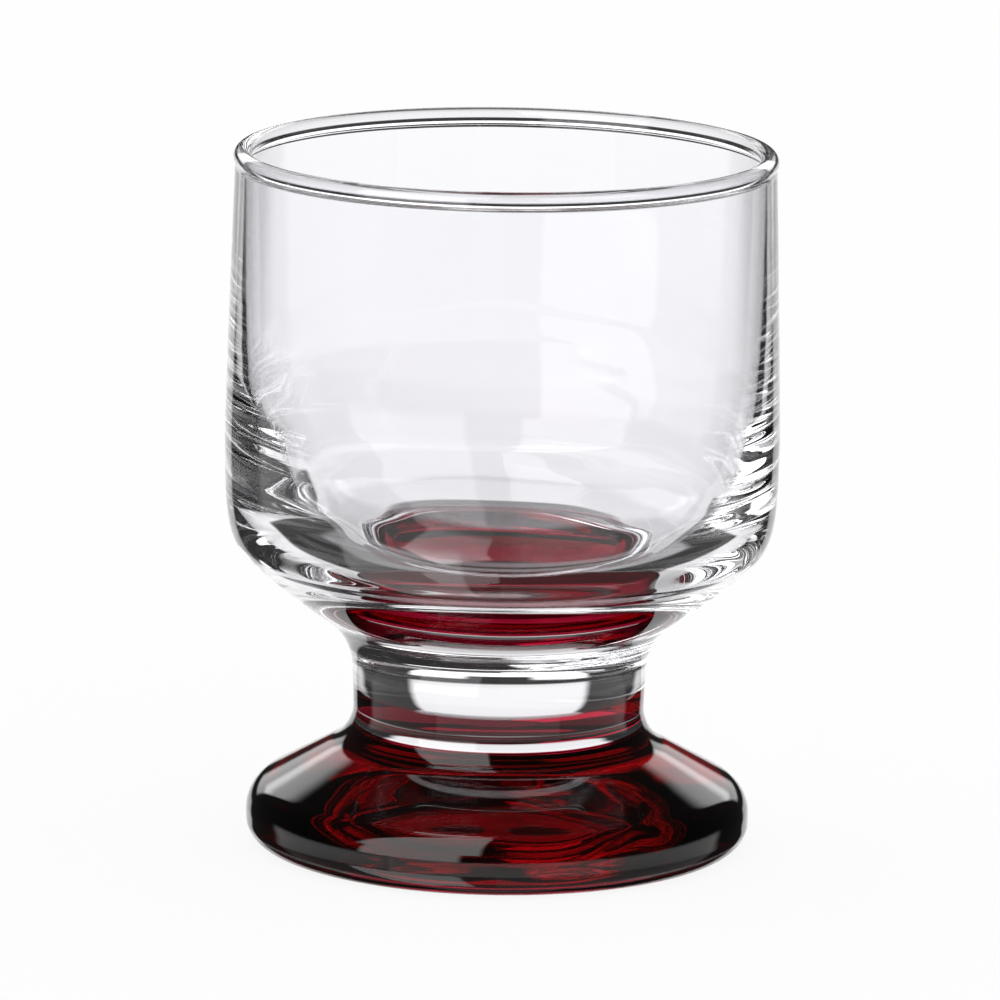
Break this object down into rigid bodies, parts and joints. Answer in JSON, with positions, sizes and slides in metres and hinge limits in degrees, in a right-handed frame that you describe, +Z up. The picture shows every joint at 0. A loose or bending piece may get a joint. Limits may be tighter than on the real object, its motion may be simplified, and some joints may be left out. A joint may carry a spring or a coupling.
{
  "type": "wine tasting glass",
  "caption": "Short-stemmed wine tasting glass: clear blown bowl with a beaded rim, thick waisted stem and round flared foot, lacquered red underneath; it stands on its foot and holds wine.",
  "frame": {"origin": "centre of the foot's standing ring, on the table", "axes": "+Z up along the glass's axis; the glass is a turned body, so any side is its front"},
  "size_m": [0.0666, 0.0666, 0.0846],
  "materials": {
    "clear_glass": "fire-polished clear soda-lime glass",
    "red_lacquer": "sprayed transparent red lacquer film"
  },
  "bodies": {
    "root": {"bowl": "clear_glass", "stem": "clear_glass", "foot": "clear_glass", "foot_lacquer": "red_lacquer"}
  },
  "joints": []
}
